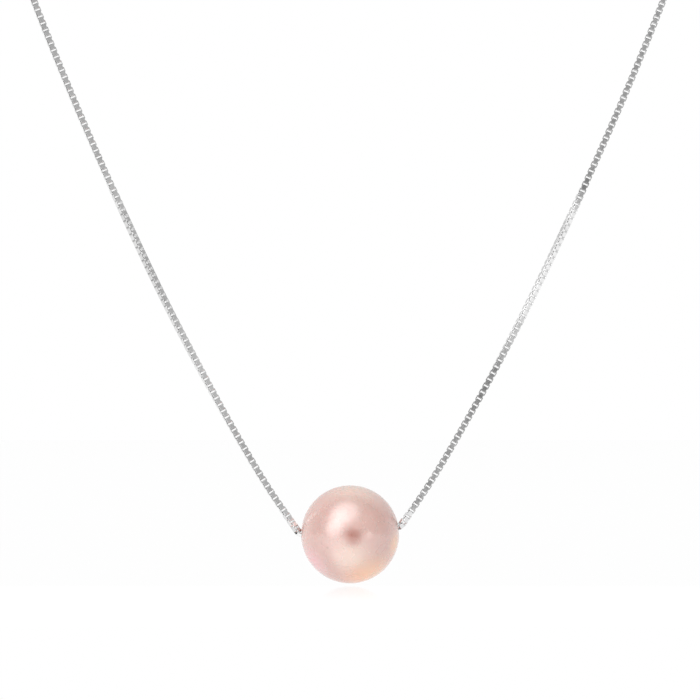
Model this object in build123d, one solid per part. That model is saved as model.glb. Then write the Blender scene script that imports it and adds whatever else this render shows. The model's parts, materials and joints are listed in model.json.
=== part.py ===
from build123d import *
import os
from math import hypot, radians, tan

# A single round pearl strung on a fine box-link chain, closed by a spring-ring clasp.
# Millimetres, +Z up, +X to the wearer's left as seen from the front, +Y to the back.
# The necklace hangs over a padded display bar. The origin is the middle of the bar's axis,
# the pearl hangs in front of the bar and the closed clasp hangs behind it.

# Box links: a nearly square loop of flat strip, each a quarter turn on from the last.
# The strip's band passes through the next link's opening with a little play each way.
LINK_WIDTH = 0.68
LINK_LENGTH = 0.6
LINK_WALL = 0.09
OPENING_WIDTH = LINK_WIDTH - 2 * LINK_WALL
OPENING_LENGTH = LINK_LENGTH - 2 * LINK_WALL
BAND_PLAY = 0.04
LINK_BAND = OPENING_WIDTH - BAND_PLAY
LINK_PLAY = 0.05
LINK_PITCH = OPENING_LENGTH - LINK_PLAY
LINK_CORNER = LINK_WIDTH / 8

# Pearl, with a bore that the turning links clear
PEARL_DIAMETER = 10.0
PEARL_HEIGHT = -117.0
BORE_CLEARANCE = 0.17
BORE_DIAMETER = hypot(LINK_WIDTH, LINK_BAND) + 2 * BORE_CLEARANCE

# Route of the chain, chosen by hand, from the pearl outwards on each side.
# Each side turns at a point MOUTH_RUN outside the pearl's surface, and goes on from there
# by its exit, an offset to the right or left and upwards.
# WRAP is the distance of the chain's middle line from the bar's axis.
MOUTH_RUN = 0.15
MOUTH_RADIUS = 1.5
BEND_SHARE = 0.45
RIGHT_MOUTH_HEIGHT = -116.2
LEFT_MOUTH_HEIGHT = -116.95
RIGHT_EXIT = (3.6, 0, 5.2)
LEFT_EXIT = (-3.95, 0, 5.7)
WRAP = 3.6
WRAP_CORNER = WRAP * tan(radians(22.5))
FRONT = -WRAP
BACK = WRAP
RIGHT_ROUTE = [
    (14.6, FRONT, -100.65),
    (20.4, FRONT, -89.25),
    (29.0, FRONT, -70.3),
    (36.5, FRONT, -50.7),
    (43.5, FRONT, -29.3),
    (52.4, FRONT, WRAP_CORNER),
    (53.2, -WRAP_CORNER, WRAP),
    (53.4, WRAP_CORNER, BACK),
    (53.1, BACK, WRAP_CORNER),
    (47.2, BACK, -13.1),
    (38.2, BACK, -28.9),
    (27.5, BACK, -41.9),
    (18.5, BACK, -47.9),
    (12.6, BACK, -50.9),
]
LEFT_ROUTE = [
    (-14.9, FRONT, -101.0),
    (-20.7, FRONT, -89.7),
    (-29.2, FRONT, -70.6),
    (-36.6, FRONT, -51.2),
    (-43.6, FRONT, -29.7),
    (-52.3, FRONT, WRAP_CORNER),
    (-53.1, -WRAP_CORNER, WRAP),
    (-53.3, WRAP_CORNER, BACK),
    (-52.9, BACK, WRAP_CORNER),
    (-46.9, BACK, -13.6),
    (-38.0, BACK, -29.2),
    (-27.2, BACK, -42.0),
    (-18.3, BACK, -47.8),
    (-12.6, BACK, -50.9),
]

# How far the chain's left side has rolled about its own length, in degrees, by its distance from
# the pearl's centre. The right side is its mirror image.
ROLL = [
    (0.0, 45.0),
    (4.8, 45.0),
    (8.2, 4.0),
    (18.0, 4.0),
    (38.0, 42.0),
    (41.0, 42.0),
    (46.0, 4.0),
    (250.0, 4.0),
]

# Heights at which one stretch of chain hands over to the next, where the stretches swing
FRONT_MIDDLE_HEIGHT = -62.0
FRONT_TOP_HEIGHT = -12.0
BACK_TOP_HEIGHT = -7.0
BACK_MIDDLE_HEIGHT = -34.0

# Clasp, from its ring outwards
CLASP_HEIGHT = -50.9
CLASP_RADIUS = 2.4
TUBE_RADIUS = 0.6
TUBE_WALL = 0.21
BOLT_CLEARANCE = 0.05
BOLT_RADIUS = TUBE_RADIUS - TUBE_WALL - BOLT_CLEARANCE
MOUTH_START = 285.0
MOUTH_END = 325.0
BOLT_ENGAGEMENT = 2.5
BOLT_ARC = 77.0
CHANNEL_START = 150.0
KNOB_ANGLE = 268.0
KNOB_TRAVEL = 42.0
KNOB_RADIUS = 0.22
KNOB_BALL_RADIUS = 0.36
KNOB_STEM = 0.4
KNOB_SLOT_CLEARANCE = 0.05
KNOB_SLOT_MARGIN = 6.0
SPRING_WIRE_RADIUS = 0.05
SPRING_TURNS = 11
SPRING_POINTS_PER_TURN = 12

# Small rings and the tab
EYE_RADIUS = 0.85
EYE_WIRE_RADIUS = 0.25
EYE_SINK = 0.08
JUMP_RING_RADIUS = 1.15
JUMP_RING_WIRE_RADIUS = 0.22
END_LOOP_RADIUS = 0.65
END_LOOP_WIRE_RADIUS = 0.2
END_LOOP_STEM = 0.15
TAB_THICKNESS = 0.4
TAB_CLASP_CLEARANCE = 0.25
TAB_RING_CLEARANCE = 0.43
TAB_WIDTH = 2.6
TAB_HOLE_SPACING = 4.2
TAB_CLASP_HOLE_RADIUS = TUBE_RADIUS + TAB_CLASP_CLEARANCE
TAB_RING_HOLE_RADIUS = JUMP_RING_WIRE_RADIUS + TAB_RING_CLEARANCE
TAB_EDGE_BREAK = 0.1
LINKING_GAP = 0.04

os.makedirs("parts", exist_ok=True)


def save(name, shape):
    """Write one sub-part."""
    export_step(shape, f"parts/{name}.step")


def ring_reach(radius_a, wire_a, radius_b, wire_b):
    """Distance between the centres of two linked rings that pull on each other."""
    return radius_a + radius_b - wire_a - wire_b - LINKING_GAP


# Places along the clasp's line, from the right chain end to the left one.
# They are worked out from the clasp's centre and then centred between the two ends.
tab_clasp_hole = CLASP_RADIUS - TUBE_RADIUS + TAB_CLASP_HOLE_RADIUS - LINKING_GAP
tab_ring_hole = tab_clasp_hole + TAB_HOLE_SPACING
right_ring = tab_ring_hole + TAB_RING_HOLE_RADIUS + JUMP_RING_RADIUS - JUMP_RING_WIRE_RADIUS - LINKING_GAP
ring_to_loop = ring_reach(JUMP_RING_RADIUS, JUMP_RING_WIRE_RADIUS, END_LOOP_RADIUS, END_LOOP_WIRE_RADIUS)
right_loop = right_ring + ring_to_loop
eye = -(CLASP_RADIUS + TUBE_RADIUS + EYE_RADIUS - EYE_SINK)
left_ring = eye - ring_reach(EYE_RADIUS, EYE_WIRE_RADIUS, JUMP_RING_RADIUS, JUMP_RING_WIRE_RADIUS)
left_loop = left_ring - ring_to_loop
loop_to_link = END_LOOP_RADIUS + END_LOOP_WIRE_RADIUS + END_LOOP_STEM
clasp_x = -(right_loop + left_loop) / 2
right_end = clasp_x + right_loop + loop_to_link
left_end = clasp_x + left_loop - loop_to_link


def on_clasp_line(offset):
    """A point on the clasp's line, at an offset from the clasp's centre."""
    return Vector(clasp_x + offset, BACK, CLASP_HEIGHT)


def upright(point):
    """A plane whose XY lies in the necklace's hanging plane, with its Y up."""
    return Plane(origin=point, x_dir=(1, 0, 0), z_dir=(0, -1, 0))


def pearl_centre():
    """Middle of the pearl, below and in front of the bar."""
    return Vector(0, FRONT, PEARL_HEIGHT)


def mouth_points():
    """Where the chain's route turns, just outside the pearl's right and left mouths."""
    mouth = PEARL_DIAMETER / 2 + MOUTH_RUN
    return Vector(mouth, FRONT, RIGHT_MOUTH_HEIGHT), Vector(-mouth, FRONT, LEFT_MOUTH_HEIGHT)


def route():
    """Every point of the chain's route, from its right end to its left end."""
    right_mouth, left_mouth = mouth_points()
    right = [right_mouth, right_mouth + RIGHT_EXIT] + RIGHT_ROUTE + [(right_end, BACK, CLASP_HEIGHT)]
    left = [left_mouth, left_mouth + LEFT_EXIT] + LEFT_ROUTE + [(left_end, BACK, CLASP_HEIGHT)]
    return [Vector(point) for point in right[::-1] + left]


def bend_radii(points):
    """One arc radius for each corner: as large as its runs allow, but tight at the pearl's mouths."""
    radii = []
    for before, corner, after in zip(points, points[1:], points[2:]):
        arriving = corner - before
        leaving = after - corner
        half_turn = radians(arriving.get_angle(leaving)) / 2
        largest = BEND_SHARE * min(arriving.length, leaving.length) / tan(half_turn)
        radii.append(MOUTH_RADIUS if corner in mouth_points() else largest)
    return radii


def roll_at(offset):
    """The chain's roll in degrees, by how far along it a link is past the pearl's centre.

    The route reaches the pearl down its right side, which is rolled as the mirror image of its left."""
    distance = abs(offset)
    roll = ROLL[-1][1]
    for (start, roll_a), (end, roll_b) in zip(ROLL, ROLL[1:]):
        if start <= distance < end:
            roll = roll_a + (roll_b - roll_a) * (distance - start) / (end - start)
    return roll if offset > 0 else 90 - roll


def stretch_of(point):
    """Which stretch of chain a link belongs to."""
    side = "right" if point.X > 0 else "left"
    if point.Y < 0 and point.Z < FRONT_MIDDLE_HEIGHT:
        return "chain_front_lower"
    if point.Y < 0 and point.Z < FRONT_TOP_HEIGHT:
        return f"chain_front_upper_{side}"
    if point.Y < 0 or point.Z > BACK_TOP_HEIGHT:
        return f"chain_over_bar_{side}"
    if point.Z > BACK_MIDDLE_HEIGHT:
        return f"chain_back_upper_{side}"
    return f"chain_back_lower_{side}"


def box_link():
    """One link: a loop of strip with its outer corners taken off, open along its Y."""
    outline = Rectangle(LINK_WIDTH, LINK_LENGTH)
    outline = chamfer(outline.vertices(), LINK_CORNER)
    opening = Rectangle(OPENING_WIDTH, OPENING_LENGTH)
    return extrude(Plane.XZ * (outline - opening), LINK_BAND / 2, both=True).solid()


def chain():
    """All the links, grouped by stretch, each link a solid of its own."""
    points = route()
    path = Wire(FilletPolyline(*points, radius=bend_radii(points)).edges())
    count = round((path.length - LINK_LENGTH) / LINK_PITCH)
    pitch = (path.length - LINK_LENGTH) / count
    print(f"chain {path.length:.1f} long, {count + 1} links at {pitch:.4f}")
    distances = [LINK_LENGTH / 2 + pitch * index for index in range(count + 1)]
    places = [path.position_at(d, position_mode=PositionMode.LENGTH) for d in distances]
    pearl_at = min(zip(places, distances), key=lambda entry: (entry[0] - pearl_centre()).length)[1]
    side = Vector(0, 1, 0)
    link = box_link()
    stretches = {}
    for index, (distance, place) in enumerate(zip(distances, places)):
        tangent = path.tangent_at(distance, position_mode=PositionMode.LENGTH)
        side = (side - tangent * side.dot(tangent)).normalized()
        turn = 90 * (index % 2) + roll_at(distance - pearl_at)
        along = Plane(origin=place, x_dir=side, z_dir=tangent)
        copy_of_link = along.location * Rot(0, 0, turn) * link
        copy_of_link.label = "link"
        stretches.setdefault(stretch_of(place), []).append(copy_of_link)
    return stretches


def pearl():
    """A round pearl, bored through a little above its centre where the chain passes."""
    right, left = mouth_points()
    along = Plane(origin=(right + left) / 2, x_dir=(0, 1, 0), z_dir=right - left)
    seam_behind = Rot(0, 0, 90)
    ball = Pos(pearl_centre()) * seam_behind * Sphere(PEARL_DIAMETER / 2)
    return ball - along * Cylinder(BORE_DIAMETER / 2, 2 * PEARL_DIAMETER)


def round_ring(radius, wire_radius, start=0.0, sweep=360.0):
    """A ring of round wire about the local Z axis, from one angle through a sweep."""
    section = Plane.XZ * Pos(radius, 0) * Circle(wire_radius)
    return Rot(0, 0, start) * revolve(section, Axis.Z, sweep)


def arc_slot(start, end):
    """The space that the knob's stem travels through, out of the tube's channel."""
    half_width = KNOB_RADIUS + KNOB_SLOT_CLEARANCE
    depth = 2 * TUBE_RADIUS
    section = Plane.XZ * Pos(CLASP_RADIUS + depth / 2, 0) * Rectangle(depth, 2 * half_width)
    return Rot(0, 0, start) * revolve(section, Axis.Z, end - start)


def clasp_body():
    """The curved tube, hollow where the bolt and its spring run, open at the mouth and the slot."""
    bore = BOLT_RADIUS + BOLT_CLEARANCE
    tube = round_ring(CLASP_RADIUS, TUBE_RADIUS, MOUTH_END, 360 - (MOUTH_END - MOUTH_START))
    channel = round_ring(CLASP_RADIUS, bore, CHANNEL_START, MOUTH_START - CHANNEL_START + 1)
    socket = round_ring(CLASP_RADIUS, bore, MOUTH_END - 1, 2 * BOLT_ENGAGEMENT + 1)
    slot = arc_slot(KNOB_ANGLE - KNOB_TRAVEL - KNOB_SLOT_MARGIN, KNOB_ANGLE + KNOB_SLOT_MARGIN)
    return tube - channel - socket - slot


def clasp_bolt():
    """The curved bolt that closes the mouth, with its tip in the socket."""
    tip = MOUTH_END + BOLT_ENGAGEMENT
    return round_ring(CLASP_RADIUS, BOLT_RADIUS, tip - BOLT_ARC, BOLT_ARC)


def clasp_knob():
    """The thumb knob: a stem out of the bolt with a ball on its end."""
    top = CLASP_RADIUS + TUBE_RADIUS + KNOB_STEM
    stem = Pos((CLASP_RADIUS + top) / 2, 0, 0) * Rot(0, 90, 0) * Cylinder(KNOB_RADIUS, top - CLASP_RADIUS)
    ball = Pos(top, 0, 0) * Sphere(KNOB_BALL_RADIUS)
    return Rot(0, 0, KNOB_ANGLE) * (stem + ball) - clasp_bolt()


def clasp_spring():
    """The coil behind the bolt, wound round the channel's own arc."""
    coil_radius = BOLT_RADIUS - SPRING_WIRE_RADIUS
    start = CHANNEL_START + 2
    end = MOUTH_END + BOLT_ENGAGEMENT - BOLT_ARC - 2
    steps = SPRING_TURNS * SPRING_POINTS_PER_TURN
    points = []
    for step in range(steps + 1):
        around = Rot(0, 0, start + (end - start) * step / steps)
        coil = Plane.XZ.location * Rot(0, 0, 360 * step / SPRING_POINTS_PER_TURN)
        points.append((around * Pos(CLASP_RADIUS, 0, 0) * coil * Pos(coil_radius, 0, 0)).position)
    path = Spline(*points)
    return sweep((path ^ 0) * Circle(SPRING_WIRE_RADIUS), path=path)


def clasp_eye():
    """The small ring soldered on the tube, opposite the side that opens."""
    ring = Pos(eye, 0, 0) * round_ring(EYE_RADIUS, EYE_WIRE_RADIUS)
    return ring - round_ring(CLASP_RADIUS, TUBE_RADIUS)


def chain_tab():
    """A plain flat tab with a hole for the clasp and a smaller one for the ring."""
    length = TAB_HOLE_SPACING + TAB_WIDTH
    blank = extrude(SlotOverall(length, TAB_WIDTH), TAB_THICKNESS / 2, both=True)
    blank = chamfer(blank.edges().group_by(Axis.Z)[-1] + blank.edges().group_by(Axis.Z)[0], TAB_EDGE_BREAK)
    clasp_hole = Pos(-TAB_HOLE_SPACING / 2, 0, 0) * Cylinder(TAB_CLASP_HOLE_RADIUS, TAB_THICKNESS)
    ring_hole = Pos(TAB_HOLE_SPACING / 2, 0, 0) * Cylinder(TAB_RING_HOLE_RADIUS, TAB_THICKNESS)
    return blank - clasp_hole - ring_hole


def end_loop(direction):
    """A small ring with a short stem, soldered to the chain's last link."""
    ring = round_ring(END_LOOP_RADIUS, END_LOOP_WIRE_RADIUS)
    stem_length = END_LOOP_WIRE_RADIUS + END_LOOP_STEM
    middle = END_LOOP_RADIUS + stem_length / 2
    stem = Pos(direction * middle, 0, 0) * Rot(0, 90, 0) * Cylinder(END_LOOP_WIRE_RADIUS, stem_length)
    return ring + stem


for name, links in chain().items():
    save(name, Compound(label=name, children=links))

save("pearl", pearl())

clasp_plane = upright(on_clasp_line(0))
save("clasp_body", clasp_plane * clasp_body())
save("clasp_bolt", clasp_plane * clasp_bolt())
save("clasp_knob", clasp_plane * clasp_knob())
save("clasp_spring", clasp_plane * clasp_spring())
save("clasp_eye", clasp_plane * clasp_eye())

save("chain_tab", Pos(on_clasp_line((tab_clasp_hole + tab_ring_hole) / 2)) * chain_tab())
save("jump_ring_right", upright(on_clasp_line(right_ring)) * round_ring(JUMP_RING_RADIUS, JUMP_RING_WIRE_RADIUS))
save("jump_ring_left", Pos(on_clasp_line(left_ring)) * round_ring(JUMP_RING_RADIUS, JUMP_RING_WIRE_RADIUS))
save("end_loop_right", Pos(on_clasp_line(right_loop)) * end_loop(1))
save("end_loop_left", upright(on_clasp_line(left_loop)) * end_loop(-1))
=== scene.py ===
"""A single-pearl necklace on a box chain, built around its solid frame."""

import json
import math

import bpy
import bmesh
from bpy.props import (
    FloatProperty,
    FloatVectorProperty,
    IntProperty,
    PointerProperty,
)
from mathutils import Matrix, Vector


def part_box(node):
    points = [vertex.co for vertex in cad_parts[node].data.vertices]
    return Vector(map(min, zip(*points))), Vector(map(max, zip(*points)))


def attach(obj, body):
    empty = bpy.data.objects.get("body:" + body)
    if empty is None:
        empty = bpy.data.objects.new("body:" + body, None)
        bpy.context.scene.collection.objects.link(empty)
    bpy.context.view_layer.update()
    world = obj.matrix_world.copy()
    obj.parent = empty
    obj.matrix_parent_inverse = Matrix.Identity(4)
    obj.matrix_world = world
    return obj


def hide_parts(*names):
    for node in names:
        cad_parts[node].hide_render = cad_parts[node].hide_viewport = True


bl_info = {
    "name": "Pearl Necklace",
    "version": (1, 0, 0),
    "blender": (4, 5, 0),
    "location": "View3D > Sidebar > Necklace",
    "description": "Builds a single-pearl necklace on a box chain around its solid frame",
    "category": "Add Mesh",
}

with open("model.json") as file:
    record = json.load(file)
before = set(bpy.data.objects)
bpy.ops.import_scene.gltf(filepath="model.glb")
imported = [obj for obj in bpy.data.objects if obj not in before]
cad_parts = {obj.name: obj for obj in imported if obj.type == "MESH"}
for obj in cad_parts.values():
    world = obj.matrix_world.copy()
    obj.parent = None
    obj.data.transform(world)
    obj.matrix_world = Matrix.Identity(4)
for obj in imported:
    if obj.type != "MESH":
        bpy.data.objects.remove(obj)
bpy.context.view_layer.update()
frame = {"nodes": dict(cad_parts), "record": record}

MM = 0.001
PEARL_LOW, PEARL_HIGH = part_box("pearl")
PEARL_CENTRE = (PEARL_LOW + PEARL_HIGH) / 2
PEARL_DIAMETER = PEARL_HIGH.z - PEARL_LOW.z

# Route of the chain in millimetres, from the pearl outwards on each side.
# WRAP is the distance of the chain's middle line from the axis of the bar that it hangs over.
WRAP = 3.6
WRAP_CORNER = WRAP * math.tan(math.radians(22.5))
FRONT = -WRAP
BACK = WRAP
RIGHT_ROUTE = [
    (4.45, FRONT, -116.25),
    (5.15, FRONT, -116.2),
    (5.65, FRONT, -115.48),
    (8.75, FRONT, -111.0),
    (14.6, FRONT, -100.65),
    (20.4, FRONT, -89.25),
    (29.0, FRONT, -70.3),
    (36.5, FRONT, -50.7),
    (43.5, FRONT, -29.3),
    (51.22, FRONT, -2.3),
    (52.4, FRONT, WRAP_CORNER),
    (53.2, -WRAP_CORNER, WRAP),
    (53.4, WRAP_CORNER, WRAP),
    (53.1, BACK, WRAP_CORNER),
    (51.51, BACK, -2.2),
    (47.2, BACK, -13.1),
    (38.2, BACK, -28.9),
    (27.5, BACK, -41.9),
    (18.5, BACK, -47.9),
    (12.6, BACK, -50.9),
    (9.145, BACK, -50.9),
]
LEFT_ROUTE = [
    (-4.45, FRONT, -116.9),
    (-5.15, FRONT, -116.95),
    (-5.65, FRONT, -116.23),
    (-9.1, FRONT, -111.25),
    (-14.9, FRONT, -101.0),
    (-20.7, FRONT, -89.7),
    (-29.2, FRONT, -70.6),
    (-36.6, FRONT, -51.2),
    (-43.6, FRONT, -29.7),
    (-51.16, FRONT, -2.3),
    (-52.3, FRONT, WRAP_CORNER),
    (-53.1, -WRAP_CORNER, WRAP),
    (-53.3, WRAP_CORNER, WRAP),
    (-52.9, BACK, WRAP_CORNER),
    (-51.34, BACK, -2.2),
    (-46.9, BACK, -13.6),
    (-38.0, BACK, -29.2),
    (-27.2, BACK, -42.0),
    (-18.3, BACK, -47.8),
    (-12.6, BACK, -50.9),
    (-9.145, BACK, -50.9),
]

# How far the chain's left side has rolled about its own length, in degrees, by its distance from
# the pearl's centre. The right side is its mirror image.
ROLL = [
    (0.0, 45.0),
    (4.8, 45.0),
    (8.2, 4.0),
    (18.0, 4.0),
    (38.0, 42.0),
    (41.0, 42.0),
    (46.0, 4.0),
    (250.0, 4.0),
]

# Heights at which one stretch of chain hands over to the next
FRONT_MIDDLE_HEIGHT = -62.0
FRONT_TOP_HEIGHT = -12.0
BACK_TOP_HEIGHT = -7.0
BACK_MIDDLE_HEIGHT = -34.0


# Some nodes keep a socket of one name for each kind of value, so these are picked by their number.
MIX_FIRST_COLOUR = 6
MIX_SECOND_COLOUR = 7
MIX_RESULT_COLOUR = 2
COMPARE_FIRST_WHOLE = 2
COMPARE_SECOND_WHOLE = 3
TRIM_START_LENGTH = 4
TRIM_END_LENGTH = 5


# Materials ---------------------------------------------------------------------------------

# Scales of the noise in each finish, in cycles for each metre
SILVER_TONE_SCALE = 900
SILVER_POLISH_SCALE = 2500
TUMBLING_SCALE = 5000
WIRE_TONE_SCALE = 1500
NACRE_TONE_SCALE = 180
NACRE_LUSTRE_SCALE = 600
NACRE_RIPPLE_SCALE = 700

# The range that most of the noise lies in
NOISE_LOW = 0.3
NOISE_HIGH = 0.7

# Relief, and how strongly it shows
TUMBLING_DEPTH = 0.01 * MM
TUMBLING_STRENGTH = 0.35
NACRE_RIPPLE_DEPTH = 0.02 * MM
NACRE_RIPPLE_STRENGTH = 0.12

# Shares of a finish's own colour or roughness that the noise takes it to
SILVER_SHADE = 0.9
NACRE_SHADE = 0.88
POLISH_SPREAD = (0.8, 1.3)
LUSTRE_SPREAD = (0.85, 1.15)

WIRE_ROUGHNESS = (0.25, 0.4)
WIRE_DARK = (0.42, 0.42, 0.43)
WIRE_LIGHT = (0.6, 0.6, 0.6)
PIT_COLOUR = (0.55, 0.33, 0.28)


def new_material(name):
    """A new material, with its node tree and its principled shader."""
    material = bpy.data.materials.new(name)
    material.use_nodes = True
    tree = material.node_tree
    return material, tree, tree.nodes["Principled BSDF"]


def set_inputs(node, values):
    """Gives a node's inputs their plain values."""
    for name, value in values.items():
        node.inputs[name].default_value = value


def piece_coordinates(tree):
    """Places on the piece itself, which go with it as it moves."""
    return tree.nodes.new("ShaderNodeTexCoord").outputs["Object"]


def place_noise(tree, scale, detail, roughness=0.5):
    """Noise laid on a piece by its own places."""
    noise = tree.nodes.new("ShaderNodeTexNoise")
    set_inputs(noise, {"Scale": scale, "Detail": detail, "Roughness": roughness})
    tree.links.new(piece_coordinates(tree), noise.inputs["Vector"])
    return noise.outputs["Fac"]


def ramp(tree, factor, stops):
    """A colour ramp with one colour for each stop, as (position, colour)."""
    node = tree.nodes.new("ShaderNodeValToRGB")
    elements = node.color_ramp.elements
    while len(elements) < len(stops):
        elements.new(0.5)
    for element, (position, colour) in zip(elements, stops):
        element.position = position
        element.color = (*colour, 1)
    tree.links.new(factor, node.inputs["Fac"])
    return node.outputs["Color"]


def remap(tree, value, low, high, to_low, to_high, smooth=False):
    """A value taken from one range to another."""
    node = tree.nodes.new("ShaderNodeMapRange")
    node.interpolation_type = "SMOOTHSTEP" if smooth else "LINEAR"
    set_inputs(node, {"From Min": low, "From Max": high, "To Min": to_low, "To Max": to_high})
    tree.links.new(value, node.inputs["Value"])
    return node.outputs["Result"]


def join_or_set(tree, socket, value):
    """Links a socket to another, or gives it a plain value."""
    if isinstance(value, bpy.types.NodeSocket):
        tree.links.new(value, socket)
    else:
        socket.default_value = value


def calculate(tree, operation, first, second):
    """The result of one calculation on two values, each a socket or a plain number."""
    node = tree.nodes.new("ShaderNodeMath")
    node.operation = operation
    join_or_set(tree, node.inputs[0], first)
    join_or_set(tree, node.inputs[1], second)
    return node.outputs[0]


def blend_colours(tree, factor, under, over):
    """A colour laid over the one from a socket, by a factor."""
    node = tree.nodes.new("ShaderNodeMix")
    node.data_type = "RGBA"
    tree.links.new(factor, node.inputs["Factor"])
    tree.links.new(under, node.inputs[MIX_FIRST_COLOUR])
    node.inputs[MIX_SECOND_COLOUR].default_value = (*over, 1)
    return node.outputs[MIX_RESULT_COLOUR]


def darkened(colour, share):
    """A colour with each channel brought down to a share of itself."""
    return tuple(channel * share for channel in colour)


def add_bump(tree, shader, height, distance, strength):
    """Small relief on a shader's surface."""
    bump = tree.nodes.new("ShaderNodeBump")
    set_inputs(bump, {"Distance": distance, "Strength": strength})
    tree.links.new(height, bump.inputs["Height"])
    tree.links.new(bump.outputs["Normal"], shader.inputs["Normal"])


def silver_material(finish):
    """Bright plated silver with faint tumbling marks and a slightly uneven polish."""
    material, tree, shader = new_material("bright_silver")
    shader.inputs["Metallic"].default_value = 1.0
    bright = tuple(finish.colour)
    tones = [(0.3, darkened(bright, SILVER_SHADE)), (0.6, bright)]
    colour = ramp(tree, place_noise(tree, SILVER_TONE_SCALE, 3), tones)
    tree.links.new(colour, shader.inputs["Base Color"])
    polish = place_noise(tree, SILVER_POLISH_SCALE, 2)
    spread = [finish.roughness * share for share in POLISH_SPREAD]
    dull = remap(tree, polish, NOISE_LOW, NOISE_HIGH, *spread)
    tree.links.new(dull, shader.inputs["Roughness"])
    add_bump(tree, shader, place_noise(tree, TUMBLING_SCALE, 2), TUMBLING_DEPTH, TUMBLING_STRENGTH)
    return material


def spring_material():
    """Plain drawn spring wire, greyer and duller than the silver."""
    material, tree, shader = new_material("spring_wire")
    shader.inputs["Metallic"].default_value = 1.0
    tone = place_noise(tree, WIRE_TONE_SCALE, 3)
    colour = ramp(tree, tone, [(NOISE_LOW, WIRE_DARK), (NOISE_HIGH, WIRE_LIGHT)])
    tree.links.new(colour, shader.inputs["Base Color"])
    dull = remap(tree, tone, NOISE_LOW, NOISE_HIGH, *WIRE_ROUGHNESS)
    tree.links.new(dull, shader.inputs["Roughness"])
    return material


def on_pearl(across, up):
    """A point on the front of the pearl, given across and up as shares of its radius."""
    out = -math.sqrt(1 - across**2 - up**2)
    return PEARL_CENTRE + Vector((across, out, up)) * (PEARL_DIAMETER / 2)


def spot_on_pearl(tree, across, up, inner, outer):
    """A soft spot on the front of the pearl, with its place and reaches as shares of the radius."""
    distance = tree.nodes.new("ShaderNodeVectorMath")
    distance.operation = "DISTANCE"
    distance.inputs[1].default_value = on_pearl(across, up)
    tree.links.new(piece_coordinates(tree), distance.inputs[0])
    radius = PEARL_DIAMETER / 2
    return remap(tree, distance.outputs["Value"], inner * radius, outer * radius, 1.0, 0.0, smooth=True)


def nacre_colour(tree, finish):
    """The nacre's body colour, with its peach, rose and deep pink hues, a painted reflection of the camera,
    a painted reflection of the white slab low in the middle, a paler top, and one small pit.
    """
    body = tuple(finish.body_colour)
    tones = [(NOISE_LOW, darkened(body, NACRE_SHADE)), (NOISE_HIGH, body)]
    colour = ramp(tree, place_noise(tree, NACRE_TONE_SCALE, 3, 0.4), tones)
    # Place across and up, reach as a share of the radius, colour
    hues = [
        # Painted reflection of the white slab, low in the middle
        (0.05, -0.45, 0.6, finish.slab_reflection_and_pale_top_colour),
        (0.4, -0.82, 0.75, finish.peach_colour),
        (0.92, -0.2, 0.35, finish.peach_colour),
        (-0.75, -0.55, 0.5, finish.rose_colour),
        (0.45, 0.3, 0.6, finish.deep_colour),
        # The same pale colour, making the top paler
        (0.1, 0.95, 0.8, finish.slab_reflection_and_pale_top_colour),
        # Painted reflection of the camera and the dark room in front: a dark spot in the middle of the
        # front
        (0.07, -0.02, 0.27, finish.camera_reflection_colour),
    ]
    # Each spot is laid over the colour, the painted reflections as well as the real hues
    for across, up, reach, hue in hues:
        spot = spot_on_pearl(tree, across, up, 0.1 * reach, reach)
        colour = blend_colours(tree, spot, colour, tuple(hue))
    pit = spot_on_pearl(tree, -0.46, -0.24, 0.01, 0.035)
    return blend_colours(tree, pit, colour, PIT_COLOUR)


def nacre_material(finish):
    """Pink nacre with peach and rose hues, painted reflections of the camera and of the white slab, a soft
    deep lustre and a fine coat.
    """
    material, tree, shader = new_material("pink_nacre")
    tree.links.new(nacre_colour(tree, finish), shader.inputs["Base Color"])
    lustre = place_noise(tree, NACRE_LUSTRE_SCALE, 2)
    spread = [finish.lustre * share for share in LUSTRE_SPREAD]
    soft = remap(tree, lustre, NOISE_LOW, NOISE_HIGH, *spread)
    tree.links.new(soft, shader.inputs["Roughness"])
    set_inputs(
        shader,
        {
            "IOR": finish.nacre_index,
            "Subsurface Weight": 0.35,
            "Subsurface Radius": (1.0, 0.45, 0.35),
            "Subsurface Scale": 1.2 * MM,
            "Coat Weight": 0.8,
            "Coat Roughness": 0.14,
            "Coat IOR": 1.55,
            "Coat Tint": (1.0, 0.95, 0.93, 1),
        },
    )
    ripple = place_noise(tree, NACRE_RIPPLE_SCALE, 3)
    add_bump(tree, shader, ripple, NACRE_RIPPLE_DEPTH, NACRE_RIPPLE_STRENGTH)
    return material


def shared_silver(context):
    """The one silver that all the metal has, apart from the spring."""
    return bpy.data.materials.get("bright_silver") or silver_material(context.scene.necklace_silver)


def clothe(name, material):
    """Puts a material in every slot of a solid node."""
    node = frame["nodes"][name]
    if not node.material_slots:
        node.data.materials.append(material)
    for slot in node.material_slots:
        slot.material = material


# Chain -------------------------------------------------------------------------------------


def route_line():
    """The points of the chain's middle line, in metres, read from one smooth curve."""
    points = [Vector(point) * MM for point in RIGHT_ROUTE[::-1] + LEFT_ROUTE]
    curve = bpy.data.curves.new("chain_route", "CURVE")
    curve.dimensions = "3D"
    curve.resolution_u = 16
    spline = curve.splines.new("NURBS")
    spline.points.add(len(points) - 1)
    for control, point in zip(spline.points, points):
        control.co = (*point, 1)
    spline.order_u = 3
    spline.use_endpoint_u = True
    holder = bpy.data.objects.new("chain_route", curve)
    bpy.context.scene.collection.objects.link(holder)
    bpy.context.view_layer.update()
    line = bpy.data.meshes.new_from_object(holder)
    places = [vertex.co.copy() for vertex in line.vertices]
    bpy.data.objects.remove(holder)
    return places


def lengths_along(line):
    """Distance from the line's start to each of its points."""
    lengths = [0.0]
    for start, end in zip(line, line[1:]):
        lengths.append(lengths[-1] + (end - start).length)
    return lengths


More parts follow.
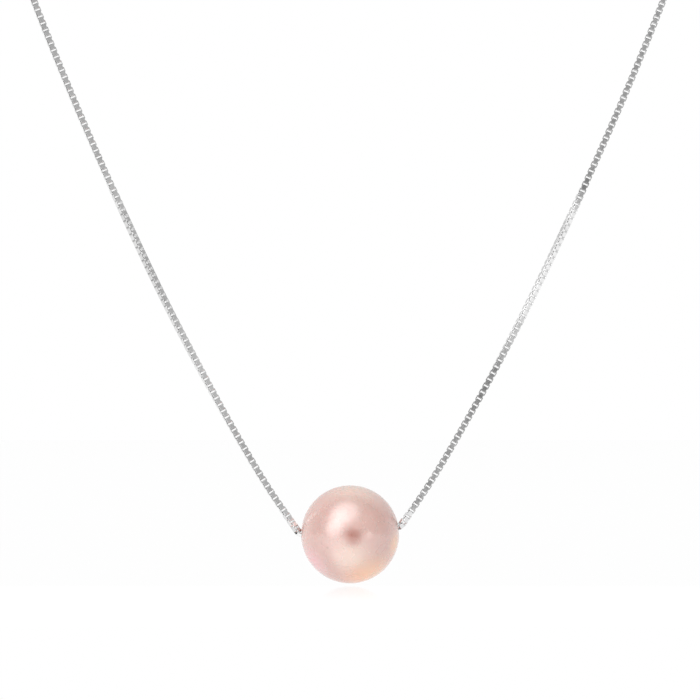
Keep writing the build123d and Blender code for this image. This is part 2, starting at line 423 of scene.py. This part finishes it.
def point_at(line, lengths, distance):
    """The point at a distance along the line."""
    for index in range(1, len(line)):
        if distance <= lengths[index]:
            share = (distance - lengths[index - 1]) / (lengths[index] - lengths[index - 1])
            return line[index - 1].lerp(line[index], share)
    return line[-1].copy()


def roll_at(offset):
    """The chain's roll in radians, by how far along it a point is past the pearl's centre.

    The route reaches the pearl down its right side, which is rolled as the mirror image of its left.
    """
    distance = abs(offset) / MM
    roll = ROLL[-1][1]
    for (start, roll_a), (end, roll_b) in zip(ROLL, ROLL[1:]):
        if start <= distance < end:
            roll = roll_a + (roll_b - roll_a) * (distance - start) / (end - start)
    return math.radians(roll if offset > 0 else 90 - roll)


def stretch_of(point):
    """Which stretch of chain a link belongs to."""
    side = "right" if point.x > 0 else "left"
    height = point.z / MM
    if point.y < 0 and height < FRONT_MIDDLE_HEIGHT:
        return "chain_front_lower"
    if point.y < 0 and height < FRONT_TOP_HEIGHT:
        return f"chain_front_upper_{side}"
    if point.y < 0 or height > BACK_TOP_HEIGHT:
        return f"chain_over_bar_{side}"
    if height > BACK_MIDDLE_HEIGHT:
        return f"chain_back_upper_{side}"
    return f"chain_back_lower_{side}"


def body_holding(node):
    """The body that a solid node moves with."""
    for body, members in frame["record"]["behaviour"]["bodies"].items():
        if node in members:
            return body
    raise RuntimeError(f"no body holds {node}")


class LinkTree:
    """Builds the node tree that lays box links along a line."""

    def __init__(self, name):
        self.tree = bpy.data.node_groups.new(name, "GeometryNodeTree")
        self.interface = self.tree.interface
        self.sockets = {}
        self.interface.new_socket("Geometry", in_out="OUTPUT", socket_type="NodeSocketGeometry")
        self.interface.new_socket("Line", in_out="INPUT", socket_type="NodeSocketGeometry")
        self.source = self.tree.nodes.new("NodeGroupInput")
        self.result = self.tree.nodes.new("NodeGroupOutput")

    def add_input(self, name, kind, value=None):
        """A named input of the tree."""
        socket = self.interface.new_socket(name, in_out="INPUT", socket_type=kind)
        if value is not None:
            socket.default_value = value
        self.sockets[name] = socket.identifier

    def node(self, kind, inputs=None, **settings):
        """A node with its settings and inputs, each a socket or a plain value."""
        node = self.tree.nodes.new(kind)
        for name, value in settings.items():
            setattr(node, name, value)
        for key, value in (inputs or {}).items():
            join_or_set(self.tree, node.inputs[key], value)
        return node

    def maths(self, operation, first, second):
        """The result of one calculation on two values, each a socket or a plain number."""
        return calculate(self.tree, operation, first, second)

    def rectangle(self, width, height, rounding):
        """A rectangle with its four corners taken off."""
        outline = self.node("GeometryNodeCurvePrimitiveQuadrilateral", {"Width": width, "Height": height})
        fillet = self.node(
            "GeometryNodeFilletCurve",
            {"Curve": outline.outputs["Curve"], "Count": 1, "Radius": rounding},
            mode="POLY",
        )
        return fillet.outputs["Curve"]

    def box_link(self, given):
        """One link: a square loop of flat strip, open along its Y."""
        across = self.maths("SUBTRACT", given["Link Width"], given["Strip Thickness"])
        along = self.maths("SUBTRACT", given["Link Length"], given["Strip Thickness"])
        loop = self.rectangle(across, along, given["Corner"])
        strip = self.rectangle(given["Strip Thickness"], given["Strip Width"], given["Edge Rounding"])
        link = self.node("GeometryNodeCurveToMesh", {"Curve": loop, "Profile Curve": strip})
        stood = self.node(
            "GeometryNodeTransform",
            {"Geometry": link.outputs["Mesh"], "Rotation": (math.pi / 2, 0, 0)},
        )
        return stood.outputs["Geometry"]

    def link_places(self, given):
        """Evenly spaced points along the line, half a link in from its ends."""
        line = self.node("GeometryNodeMeshToCurve", {"Mesh": given["Line"]}).outputs["Curve"]
        length = self.node("GeometryNodeCurveLength", {"Curve": line}).outputs["Length"]
        half = self.maths("MULTIPLY", given["Link Length"], 0.5)
        ends = {TRIM_START_LENGTH: half, TRIM_END_LENGTH: self.maths("SUBTRACT", length, half)}
        trimmed = self.node("GeometryNodeTrimCurve", {"Curve": line, **ends}, mode="LENGTH")
        return self.node(
            "GeometryNodeCurveToPoints",
            {"Curve": trimmed.outputs["Curve"], "Count": given["Link Count"]},
            mode="COUNT",
        )

    def turned(self, rotation, angles):
        """A rotation turned further about its own axes."""
        by = self.node("FunctionNodeEulerToRotation", {"Euler": angles}).outputs["Rotation"]
        both = {"Rotation": rotation, "Rotate By": by}
        return self.node("FunctionNodeRotateRotation", both, rotation_space="LOCAL").outputs["Rotation"]

    def link_rotation(self, given, places):
        """Each link stands a quarter turn on from the last, rolled with the chain, a little loose."""
        index = self.node("GeometryNodeInputIndex").outputs["Index"]
        quarter = self.maths("MULTIPLY", self.maths("MODULO", index, 2.0), math.pi / 2)
        roll = self.node("GeometryNodeInputNamedAttribute", {"Name": "roll"}, data_type="FLOAT")
        turn = self.maths("ADD", quarter, roll.outputs["Attribute"])
        about = self.node("ShaderNodeCombineXYZ", {"Z": turn}).outputs["Vector"]
        most = given["Looseness"]
        limits = {"Min": self.maths("MULTIPLY", most, -1.0), "Max": most, "Seed": given["Seed"]}
        loose = self.node("FunctionNodeRandomValue", limits, data_type="FLOAT_VECTOR")
        rolled = self.turned(places.outputs["Rotation"], about)
        return self.turned(rolled, loose.outputs["Value"])

    def compared(self, operation, first, second):
        """Whether one whole number stands in a relation to another."""
        numbers = {COMPARE_FIRST_WHOLE: first, COMPARE_SECOND_WHOLE: second}
        return self.node("FunctionNodeCompare", numbers, data_type="INT", operation=operation).outputs[0]

    def in_stretch(self, given):
        """Whether a link lies in the stretch that is being laid."""
        index = self.node("GeometryNodeInputIndex").outputs["Index"]
        from_first = self.compared("GREATER_EQUAL", index, given["First Link"])
        to_last = self.compared("LESS_EQUAL", index, given["Last Link"])
        return self.node("FunctionNodeBooleanMath", {0: from_first, 1: to_last}, operation="AND").outputs[0]

    def build(self):
        """The whole tree, from the line to the finished links."""
        given = self.source.outputs
        places = self.link_places(given)
        links = self.node(
            "GeometryNodeInstanceOnPoints",
            {
                "Points": places.outputs["Points"],
                "Selection": self.in_stretch(given),
                "Instance": self.box_link(given),
                "Rotation": self.link_rotation(given, places),
            },
        )
        real = self.node("GeometryNodeRealizeInstances", {"Geometry": links.outputs["Instances"]})
        flat = self.node(
            "GeometryNodeSetShadeSmooth",
            {"Geometry": real.outputs["Geometry"], "Shade Smooth": False},
        )
        finished = self.node(
            "GeometryNodeSetMaterial",
            {"Geometry": flat.outputs["Geometry"], "Material": given["Material"]},
        )
        self.tree.links.new(finished.outputs["Geometry"], self.result.inputs["Geometry"])


def link_tree(sizes):
    """The tree for the chain's links, with its sizes as named inputs."""
    links = LinkTree("box_links")
    links.add_input("First Link", "NodeSocketInt", 0)
    links.add_input("Last Link", "NodeSocketInt", 0)
    links.add_input("Link Count", "NodeSocketInt", sizes.link_count)
    links.add_input("Link Width", "NodeSocketFloat", sizes.link_width)
    links.add_input("Link Length", "NodeSocketFloat", sizes.link_length)
    links.add_input("Strip Thickness", "NodeSocketFloat", sizes.strip_thickness)
    links.add_input("Strip Width", "NodeSocketFloat", sizes.strip_width)
    links.add_input("Corner", "NodeSocketFloat", sizes.corner)
    links.add_input("Edge Rounding", "NodeSocketFloat", sizes.edge_rounding)
    links.add_input("Looseness", "NodeSocketFloat", sizes.looseness)
    links.add_input("Seed", "NodeSocketInt", 7)
    links.add_input("Material", "NodeSocketMaterial")
    links.build()
    return links


def lay_links(line_mesh, links, name, first, last, material):
    """One stretch's links as a plain mesh object."""
    holder = bpy.data.objects.new(name + "_line", line_mesh)
    bpy.context.scene.collection.objects.link(holder)
    modifier = holder.modifiers.new("links", "NODES")
    modifier.node_group = links.tree
    modifier[links.sockets["First Link"]] = first
    modifier[links.sockets["Last Link"]] = last
    modifier[links.sockets["Material"]] = material
    graph = bpy.context.evaluated_depsgraph_get()
    mesh = bpy.data.meshes.new_from_object(holder.evaluated_get(graph))
    bpy.data.objects.remove(holder)
    mesh.name = name
    piece = bpy.data.objects.new(name, mesh)
    bpy.context.scene.collection.objects.link(piece)
    return piece


def line_with_roll(line, lengths):
    """The chain's middle line as a mesh that carries the roll at each of its points."""
    at_pearl = min(zip(line, lengths), key=lambda entry: (entry[0] - PEARL_CENTRE).length)[1]
    mesh = bpy.data.meshes.new("chain_line")
    mesh.from_pydata(line, [(index, index + 1) for index in range(len(line) - 1)], [])
    rolls = [roll_at(length - at_pearl) for length in lengths]
    mesh.attributes.new("roll", "FLOAT", "POINT").data.foreach_set("value", rolls)
    return mesh


def ends_of_stretches(line, lengths, sizes, pitch):
    """The numbers of each stretch's first and last link."""
    stretches = {}
    for index in range(sizes.link_count):
        place = point_at(line, lengths, sizes.link_length / 2 + pitch * index)
        stretches.setdefault(stretch_of(place), []).append(index)
    return {name: (members[0], members[-1]) for name, members in stretches.items()}


def stretch_path(line, lengths, start, end):
    """The line's points between two distances along it, with both ends."""
    between = [place for place, length in zip(line, lengths) if start < length < end]
    return [point_at(line, lengths, start)] + between + [point_at(line, lengths, end)]


# Settings ----------------------------------------------------------------------------------


class ChainSettings(bpy.types.PropertyGroup):
    """Sizes of the box chain."""

    link_count: IntProperty(
        name="Links",
        description="Number of links in the whole chain",
        default=1149,
        min=2,
    )
    link_width: FloatProperty(
        name="Link Width",
        description="Outside width of one link, across the chain",
        default=0.68 * MM,
        unit="LENGTH",
        precision=5,
    )
    link_length: FloatProperty(
        name="Link Length",
        description="Outside length of one link, along the chain",
        default=0.6 * MM,
        unit="LENGTH",
        precision=5,
    )
    strip_thickness: FloatProperty(
        name="Strip Thickness",
        description="Thickness of the strip that a link is folded from",
        default=0.09 * MM,
        unit="LENGTH",
        precision=5,
    )
    strip_width: FloatProperty(
        name="Strip Width",
        description="Width of the strip that a link is folded from",
        default=0.46 * MM,
        unit="LENGTH",
        precision=5,
    )
    corner: FloatProperty(
        name="Corner",
        description="How far each corner of a link is taken off",
        default=0.06 * MM,
        unit="LENGTH",
        precision=5,
    )
    edge_rounding: FloatProperty(
        name="Edge Rounding",
        description="How far the strip's long edges are worn",
        default=0.02 * MM,
        unit="LENGTH",
        precision=5,
    )
    looseness: FloatProperty(
        name="Looseness",
        description="Most that one link leans from its neighbours",
        default=math.radians(0.6),
        unit="ROTATION",
    )


class SilverSettings(bpy.types.PropertyGroup):
    """Finish of the silver parts."""

    colour: FloatVectorProperty(
        name="Silver",
        description="Colour of the plated silver",
        default=(0.86, 0.86, 0.86),
        subtype="COLOR",
        min=0,
        max=1,
    )
    roughness: FloatProperty(
        name="Roughness",
        description="How dull the polish is",
        default=0.2,
        subtype="FACTOR",
        min=0,
        max=1,
    )


class PearlSettings(bpy.types.PropertyGroup):
    """Size and colours of the pearl, painted reflections among them."""

    diameter: FloatProperty(
        name="Diameter",
        description="Diameter of the pearl",
        default=PEARL_DIAMETER,
        unit="LENGTH",
        precision=5,
    )
    bore: FloatProperty(
        name="Bore",
        description="Diameter of the hole that the chain runs through",
        default=1.16 * MM,
        unit="LENGTH",
        precision=5,
    )
    body_colour: FloatVectorProperty(
        name="Body",
        description="Main colour of the nacre",
        default=(0.78, 0.51, 0.46),
        subtype="COLOR",
        min=0,
        max=1,
    )
    peach_colour: FloatVectorProperty(
        name="Peach",
        description="Overtone low on the right and along the right rim",
        default=(0.98, 0.58, 0.36),
        subtype="COLOR",
        min=0,
        max=1,
    )
    rose_colour: FloatVectorProperty(
        name="Rose",
        description="Overtone low on the left",
        default=(0.86, 0.5, 0.53),
        subtype="COLOR",
        min=0,
        max=1,
    )
    deep_colour: FloatVectorProperty(
        name="Deep Pink",
        description="Darker overtone high on the right",
        default=(0.76, 0.49, 0.43),
        subtype="COLOR",
        min=0,
        max=1,
    )
    # Painted reflection of the camera and the dark room in front, as a dark colour small and in the middle
    # of the front
    camera_reflection_colour: FloatVectorProperty(
        name="Camera Reflection",
        description="Deepest overtone, small and in the middle of the front",
        default=(0.52, 0.22, 0.17),
        subtype="COLOR",
        min=0,
        max=1,
    )
    # Pale colour for a painted reflection of the white slab low in the middle, and for a paler top
    slab_reflection_and_pale_top_colour: FloatVectorProperty(
        name="Slab Reflection and Pale Top",
        description="Pale overtone at the top and low in the middle",
        default=(0.85, 0.65, 0.56),
        subtype="COLOR",
        min=0,
        max=1,
    )
    lustre: FloatProperty(
        name="Lustre",
        description="Roughness of the nacre under its clear coat",
        default=0.28,
        subtype="FACTOR",
        min=0,
        max=1,
    )
    nacre_index: FloatProperty(
        name="Nacre Index",
        description="Refractive index of the nacre",
        default=2.6,
        min=1,
        max=3,
    )


class StageSettings(bpy.types.PropertyGroup):
    """Camera distance and light of the stage."""

    distance: FloatProperty(
        name="Camera Distance",
        description="Distance from the camera to the front of the chain",
        default=0.5,
        unit="LENGTH",
    )
    view_width: FloatProperty(
        name="View Width",
        description="Width of the view at the front of the chain",
        default=0.0714,
        unit="LENGTH",
        precision=4,
    )
    light: FloatProperty(
        name="Light",
        description="Strength of the soft light panels",
        default=1.0,
        min=0,
    )


# Stage -------------------------------------------------------------------------------------

SENSOR_WIDTH = 36
CAMERA_HEIGHT = -98.2 * MM
NEAREST_SEEN = 0.01

# The slab's gap under the pearl, its reach in front of it, and its side and back edges in metres
SLAB_GAP = 0.15 * MM
SLAB_REACH = 75 * MM
SLAB_SIDE = 0.6
SLAB_BACK = 0.8
SLAB_GLOW = 1.135
SHEEN_REACH = 60 * MM
SHEEN_SHARE = 0.36
SHEEN_ROUGHNESS = 0.06

# The room's plain light, by the height or the depth of a direction: the two ends of a range, and
# the level at each
BELOW = (-0.4, -0.3, 0.68, 0.0)
FRONT_WALL = (0.1, 0.6, 0.5, 0.62)
SIDE_WALLS = (-0.15, 0.45, 0.62, 0.42)
BACK_EXTRA = (0.0, 0.5, 0.0, 0.35)
FRONT_SHARE = (-0.7, 0.05, 1.0, 0.0)

# Soft light panels: direction, angle of the full core, angle of the faded edge, strength
LIGHT_PANELS = [
    ((-0.18, -0.54, 0.82), 12, 36, 1.35),
    ((-0.46, -0.66, 0.58), 8, 30, 0.8),
    ((-0.62, -0.74, 0.24), 6, 26, 1.5),
    ((0.72, -0.70, -0.04), 4, 11, 1.6),
]
# The dark gap in front, where the camera stands: direction, full core, faded edge, depth
DARK_GAP = ((0.12, -0.99, -0.04), 6, 20, 0.58)


def add_camera(settings):
    """A level camera square to the front, aimed a little above the pearl."""
    camera = bpy.data.cameras.new("camera")
    camera.sensor_width = SENSOR_WIDTH
    camera.lens = SENSOR_WIDTH * settings.distance / settings.view_width
    camera.clip_start = NEAREST_SEEN
    holder = bpy.data.objects.new("camera", camera)
    holder.location = (0, FRONT * MM - settings.distance, CAMERA_HEIGHT)
    holder.rotation_euler = (math.pi / 2, 0, 0)
    bpy.context.scene.collection.objects.link(holder)
    bpy.context.scene.camera = holder


def slab_material():
    """Glowing white, with a sheen that is full at the pearl and fades out in front of it."""
    material = bpy.data.materials.new("white_slab")
    material.use_nodes = True
    tree = material.node_tree
    tree.nodes.clear()
    place = tree.nodes.new("ShaderNodeSeparateXYZ")
    tree.links.new(piece_coordinates(tree), place.inputs[0])
    sheen_end = PEARL_CENTRE.y - SHEEN_REACH
    sheen = remap(tree, place.outputs["Y"], sheen_end, PEARL_CENTRE.y, 0.0, SHEEN_SHARE)
    glow = tree.nodes.new("ShaderNodeEmission")
    glow.inputs["Strength"].default_value = SLAB_GLOW
    gloss = tree.nodes.new("ShaderNodeBsdfGlossy")
    gloss.inputs["Roughness"].default_value = SHEEN_ROUGHNESS
    output = tree.nodes.new("ShaderNodeOutputMaterial")
    mix_shaders(tree, sheen, glow, gloss, output)
    return material


def mix_shaders(tree, factor, first, second, output):
    """Mixes two shader nodes by a factor, into an output."""
    mix = tree.nodes.new("ShaderNodeMixShader")
    tree.links.new(factor, mix.inputs["Fac"])
    tree.links.new(first.outputs[0], mix.inputs[1])
    tree.links.new(second.outputs[0], mix.inputs[2])
    tree.links.new(mix.outputs[0], output.inputs["Surface"])


def add_floor():
    """A white slab just under the pearl."""
    top = PEARL_LOW.z - SLAB_GAP
    front = PEARL_CENTRE.y - SLAB_REACH
    corners = [
        (-SLAB_SIDE, front, top),
        (SLAB_SIDE, front, top),
        (SLAB_SIDE, SLAB_BACK, top),
        (-SLAB_SIDE, SLAB_BACK, top),
    ]
    mesh = bpy.data.meshes.new("floor")
    mesh.from_pydata(corners, [], [(0, 1, 2, 3)])
    mesh.materials.append(slab_material())
    floor = bpy.data.objects.new("floor", mesh)
    bpy.context.scene.collection.objects.link(floor)


def light_panel(tree, direction, towards, inner, outer, strength):
    """A round soft panel in one direction, with its angles in degrees."""
    node = tree.nodes.new("ShaderNodeVectorMath")
    node.operation = "DOT_PRODUCT"
    node.inputs[1].default_value = Vector(towards).normalized()
    tree.links.new(direction, node.inputs[0])
    near = math.cos(math.radians(inner))
    far = math.cos(math.radians(outer))
    return remap(tree, node.outputs["Value"], far, near, 0.0, strength, smooth=True)


def wall_light(tree, direction):
    """The room's plain light: palest behind, and greyer at the sides and in front."""
    parts = tree.nodes.new("ShaderNodeSeparateXYZ")
    tree.links.new(direction, parts.inputs[0])
    depth = parts.outputs["Y"]
    height = parts.outputs["Z"]
    below = remap(tree, height, *BELOW, smooth=True)
    front = remap(tree, height, *FRONT_WALL, smooth=True)
    side = remap(tree, height, *SIDE_WALLS, smooth=True)
    back = remap(tree, depth, *BACK_EXTRA, smooth=True)
    in_front = remap(tree, depth, *FRONT_SHARE, smooth=True)
    elsewhere = calculate(tree, "SUBTRACT", 1.0, in_front)
    from_front = calculate(tree, "MULTIPLY", in_front, front)
    from_elsewhere = calculate(tree, "MULTIPLY", elsewhere, calculate(tree, "ADD", side, back))
    return calculate(tree, "MAXIMUM", calculate(tree, "ADD", from_front, from_elsewhere), below)


def add_room(settings):
    """The room that lights and mirrors in the necklace. To the camera itself it is plain white."""
    world = bpy.data.worlds.new("room")
    world.use_nodes = True
    tree = world.node_tree
    tree.nodes.clear()
    direction = tree.nodes.new("ShaderNodeTexCoord").outputs["Generated"]
    level = wall_light(tree, direction)
    for towards, inner, outer, strength in LIGHT_PANELS:
        panel = light_panel(tree, direction, towards, inner, outer, strength * settings.light)
        level = calculate(tree, "ADD", level, panel)
    gap = light_panel(tree, direction, *DARK_GAP)
    level = calculate(tree, "MULTIPLY", level, calculate(tree, "SUBTRACT", 1.0, gap))
    lit = tree.nodes.new("ShaderNodeBackground")
    seen = tree.nodes.new("ShaderNodeBackground")
    for background in (lit, seen):
        background.inputs["Color"].default_value = (1, 1, 1, 1)
    tree.links.new(level, lit.inputs["Strength"])
    from_camera = tree.nodes.new("ShaderNodeLightPath").outputs["Is Camera Ray"]
    output = tree.nodes.new("ShaderNodeOutputWorld")
    mix_shaders(tree, from_camera, lit, seen, output)
    bpy.context.scene.world = world


# Pearl -------------------------------------------------------------------------------------

PEARL_OUTLINES = 160
OUTLINE_STEPS = 48
MOUTH_EASE = 0.06 * MM
LIP = 0.3 * MOUTH_EASE


def arc_between(start, middle, end, steps):
    """Unit directions from start through middle to end, along the ball's surface."""
    rows = []
    for first, second in ((start, middle), (middle, end)):
        angle = first.angle(second)
        for step in range(steps):
            share = step / steps
            first_part = math.sin((1 - share) * angle)
            second_part = math.sin(share * angle)
            rows.append((first * first_part + second * second_part) / math.sin(angle))
    rows.append(end)
    return rows


def pearl_outline(settings, axis, bore_middle, out):
    """The pearl's outline to one side of its bore: over the ball, and back through the bore."""
    ball = settings.diameter / 2
    bore = settings.bore / 2
    at_mouth = bore_middle + out * (bore + MOUTH_EASE)
    reach = math.sqrt(ball**2 - at_mouth.length_squared)
    right, left = ((at_mouth + axis * reach * way).normalized() for way in (1, -1))
    surface = [direction * ball for direction in arc_between(right, out, left, OUTLINE_STEPS)]
    left_lip, right_lip = (
        bore_middle + out * (bore + LIP) + axis * (reach - LIP) * way for way in (-1, 1)
    )
    in_bore = bore_middle + out * bore
    inside = [in_bore + axis * (reach - MOUTH_EASE) * share for share in (-1, -0.5, 0, 0.5, 1)]
    return surface + [left_lip] + inside + [right_lip]


def pearl_mesh(settings):
    """A ball with a bore a little above its middle, its mouths eased."""
    right = Vector(RIGHT_ROUTE[1]) * MM
    left = Vector(LEFT_ROUTE[1]) * MM
    axis = (right - left).normalized()
    bore_middle = (right + left) / 2 - PEARL_CENTRE
    bore_middle -= axis * bore_middle.dot(axis)
    side = axis.cross(Vector((0, 1, 0))).normalized()
    other = axis.cross(side)
    outlines = []
    for turn in range(PEARL_OUTLINES):
        angle = 2 * math.pi * turn / PEARL_OUTLINES
        out = side * math.cos(angle) + other * math.sin(angle)
        outlines.append(pearl_outline(settings, axis, bore_middle, out))
    rows = len(outlines[0])
    vertices = [PEARL_CENTRE + place for outline in outlines for place in outline]
    faces = []
    for turn in range(PEARL_OUTLINES):
        here = turn * rows
        there = (turn + 1) % PEARL_OUTLINES * rows
        for row in range(rows):
            above = (row + 1) % rows
            faces.append((here + row, there + row, there + above, here + above))
    mesh = bpy.data.meshes.new("pearl_nacre")
    mesh.from_pydata(vertices, [], faces)
    shape = bmesh.new()
    shape.from_mesh(mesh)
    bmesh.ops.recalc_face_normals(shape, faces=shape.faces)
    shape.to_mesh(mesh)
    shape.free()
    mesh.polygons.foreach_set("use_smooth", [True] * len(mesh.polygons))
    return mesh


# Clasp -------------------------------------------------------------------------------------

SILVER_NODES = [
    "clasp_body",
    "clasp_bolt",
    "clasp_knob",
    "clasp_eye",
    "chain_tab",
    "jump_ring_left",
    "jump_ring_right",
    "end_loop_left",
    "end_loop_right",
]


# Operators ---------------------------------------------------------------------------------


class NECKLACE_OT_stage(bpy.types.Operator):
    """Set up the camera, the white slab and the soft light"""

    bl_idname = "necklace.stage"
    bl_label = "Stage"

    def execute(self, context):
        settings = context.scene.necklace_stage
        add_camera(settings)
        add_floor()
        add_room(settings)
        context.scene.view_settings.view_transform = "Standard"
        return {"FINISHED"}


class NECKLACE_OT_chain(bpy.types.Operator):
    """Lay the box links along the chain's route, one piece for each stretch"""

    bl_idname = "necklace.chain"
    bl_label = "Chain"

    def execute(self, context):
        sizes = context.scene.necklace_chain
        silver = shared_silver(context)
        line = route_line()
        lengths = lengths_along(line)
        line_mesh = line_with_roll(line, lengths)
        links = link_tree(sizes)
        pitch = (lengths[-1] - sizes.link_length) / (sizes.link_count - 1)
        for name, (first, last) in ends_of_stretches(line, lengths, sizes, pitch).items():
            piece = lay_links(line_mesh, links, name + "_links", first, last, silver)
            start = pitch * first
            end = pitch * last + sizes.link_length
            path = stretch_path(line, lengths, start, end)
            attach(piece, body_holding(name))
            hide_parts(name)
        bpy.data.meshes.remove(line_mesh)
        return {"FINISHED"}


class NECKLACE_OT_pearl(bpy.types.Operator):
    """Make the bored pearl and its nacre"""

    bl_idname = "necklace.pearl"
    bl_label = "Pearl"

    def execute(self, context):
        settings = context.scene.necklace_pearl
        mesh = pearl_mesh(settings)
        mesh.materials.append(nacre_material(settings))
        piece = bpy.data.objects.new("pearl_nacre", mesh)
        context.scene.collection.objects.link(piece)
        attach(piece, "pearl")
        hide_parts("pearl")
        return {"FINISHED"}


class NECKLACE_OT_clasp(bpy.types.Operator):
    """Finish the clasp, its rings and the tab"""

    bl_idname = "necklace.clasp"
    bl_label = "Clasp"

    def execute(self, context):
        silver = shared_silver(context)
        for name in SILVER_NODES:
            clothe(name, silver)
        clothe("clasp_spring", spring_material())
        return {"FINISHED"}


class NECKLACE_PT_panel(bpy.types.Panel):
    """The necklace's pieces, in the order in which they are made"""

    bl_idname = "NECKLACE_PT_panel"
    bl_label = "Pearl Necklace"
    bl_space_type = "VIEW_3D"
    bl_region_type = "UI"
    bl_category = "Necklace"

    def draw(self, context):
        for operator, group in PIECES:
            box = self.layout.box()
            box.operator(operator.bl_idname)
            if group:
                settings = getattr(context.scene, group)
                for name in settings.__annotations__:
                    box.prop(settings, name)


PIECES = [
    (NECKLACE_OT_stage, "necklace_stage"),
    (NECKLACE_OT_chain, "necklace_chain"),
    (NECKLACE_OT_pearl, "necklace_pearl"),
    (NECKLACE_OT_clasp, "necklace_silver"),
]

SETTINGS = {
    "necklace_stage": StageSettings,
    "necklace_chain": ChainSettings,
    "necklace_pearl": PearlSettings,
    "necklace_silver": SilverSettings,
}


def register():
    """Makes the settings, the operators and the panel known to the program."""
    for name, group in SETTINGS.items():
        bpy.utils.register_class(group)
        setattr(bpy.types.Scene, name, PointerProperty(type=group))
    for operator, _ in PIECES:
        bpy.utils.register_class(operator)
    bpy.utils.register_class(NECKLACE_PT_panel)


def unregister():
    """Undoes register."""
    bpy.utils.unregister_class(NECKLACE_PT_panel)
    for operator, _ in reversed(PIECES):
        bpy.utils.unregister_class(operator)
    for name, group in reversed(SETTINGS.items()):
        delattr(bpy.types.Scene, name)
        bpy.utils.unregister_class(group)


def main():
    """Makes every piece in order."""
    register()
    bpy.ops.necklace.stage()
    bpy.ops.necklace.chain()
    bpy.ops.necklace.pearl()
    bpy.ops.necklace.clasp()
    bpy.context.view_layer.update()


if __name__ == "__main__":
    main()
